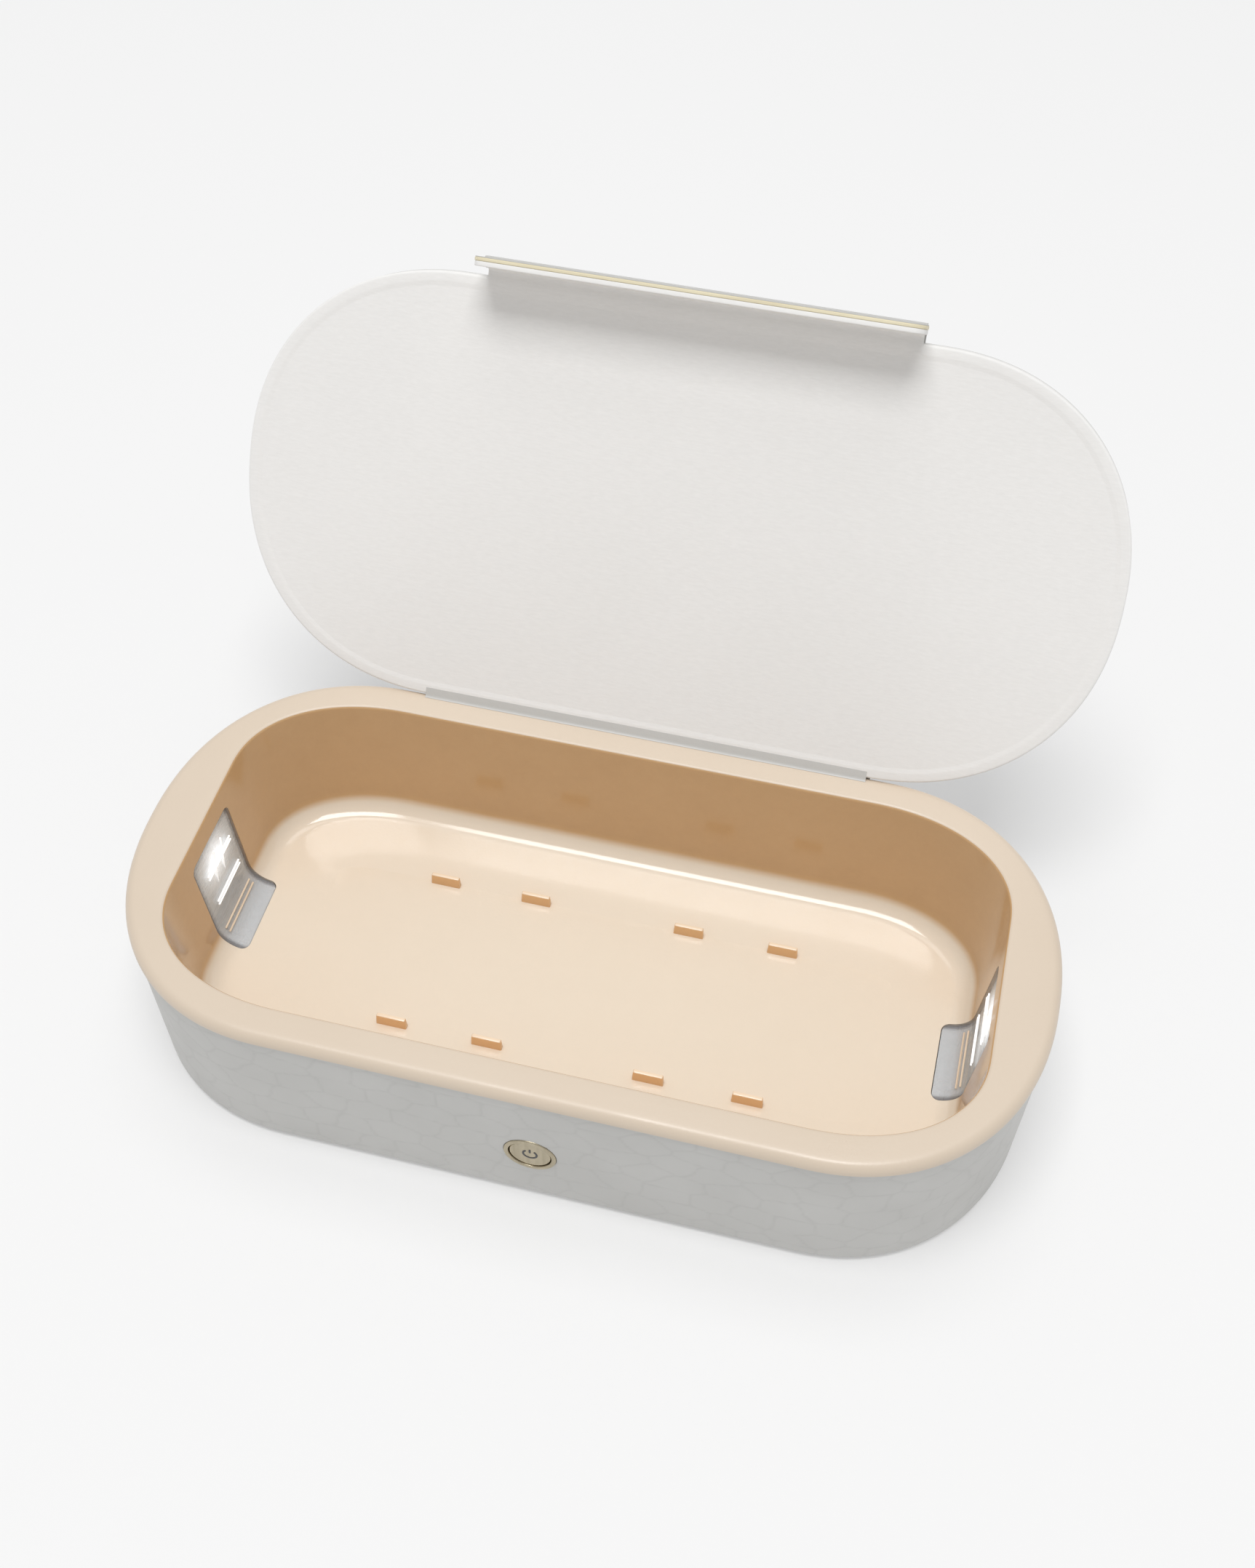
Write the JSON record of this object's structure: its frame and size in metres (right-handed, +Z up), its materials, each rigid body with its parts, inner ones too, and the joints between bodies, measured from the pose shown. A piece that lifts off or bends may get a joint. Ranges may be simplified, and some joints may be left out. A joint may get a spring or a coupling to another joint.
{
  "type": "toothbrush sanitizer",
  "caption": "Stadium-shaped leather-wrapped case with a glossy tray, end lamp windows, a front push button and a hinged lid with a magnetic flap.",
  "frame": {"origin": "centre of the non-slip pad's underside, on the surface that the case rests on", "axes": "+X along the case towards its right end, +Y to the hinge side, +Z up; the button is on -Y"},
  "size_m": [0.24, 0.1782, 0.1622],
  "materials": {
    "tray_plastic": "glossy cream ABS, polished inside",
    "shell_plastic": "satin moulded ABS",
    "leather": "pale grey crocodile-embossed coated leather, satin",
    "lining": "fine-grained pale lining, matt",
    "fibreboard": "pressed grey-brown board",
    "rubber_pad": "matt silicone",
    "champagne": "satin champagne coating",
    "window": "clear polished polycarbonate",
    "reflector": "vacuum-metallised, bright",
    "lamp": "lit white lamp face",
    "steel": "zinc-plated",
    "magnet": "nickel-plated",
    "circuit": "green solder mask",
    "black_plastic": "black moulded",
    "cell_wrap": "foil pouch",
    "foam": "closed-cell foam",
    "cable": "insulated lead"
  },
  "bodies": {
    "base": {"base_cover": "shell_plastic", "base_pad": "rubber_pad", "base_screw_1": "steel", "base_screw_2": "steel", "base_screw_3": "steel", "base_screw_4": "steel", "battery": "cell_wrap", "battery_lead": "cable", "battery_pad": "foam", "board_screw_1": "steel", "board_screw_2": "steel", "button_bezel": "champagne", "control_board": "circuit", "hinge_strip": "leather", "inner_tray": "tray_plastic", "lamp_board_left": "circuit", "lamp_board_right": "circuit", "lamp_cable_left": "cable", "lamp_cable_right": "cable", "lamp_reflector_left": "reflector", "lamp_reflector_right": "reflector", "lamp_screw_left_1": "steel", "lamp_screw_left_2": "steel", "lamp_screw_right_1": "steel", "lamp_screw_right_2": "steel", "lamp_window_left": "window", "lamp_window_right": "window", "leather_wrap": "leather", "lid_sensor": "black_plastic", "outer_shell": "shell_plastic", "port_frame": "shell_plastic", "power_board": "circuit", "strike_plate_1": "steel", "strike_plate_2": "steel", "tact_switch": "black_plastic", "usb_socket": "steel", "uv_led_left_1": "lamp", "uv_led_left_2": "lamp", "uv_led_left_3": "lamp", "uv_led_right_1": "lamp", "uv_led_right_2": "lamp", "uv_led_right_3": "lamp"},
    "lid": {"lid_board": "fibreboard", "lid_leather": "leather", "lid_lining": "lining", "lid_magnet": "magnet"},
    "flap": {"flap_board": "fibreboard", "flap_leather": "leather", "flap_lining": "lining", "flap_magnet_1": "magnet", "flap_magnet_2": "magnet"},
    "button": {"button_cap": "champagne"}
  },
  "joints": [
    {"name": "lid_hinge", "type": "hinge", "parent": "base", "child": "lid", "pos_m": [0, 0.057, 0.0513], "axis": [1, 0, 0], "range_deg": [0, 121]},
    {"name": "flap_crease", "type": "hinge", "parent": "lid", "child": "flap", "pos_m": [0, 0.11832, 0.15083], "axis": [1, 0, 0], "range_deg": [-85, 8]},
    {"name": "button_press", "type": "slide", "parent": "base", "child": "button", "axis": [0, 1, 0], "range_m": [0, 0.0006], "stiffness_N_per_m": 1500}
  ]
}
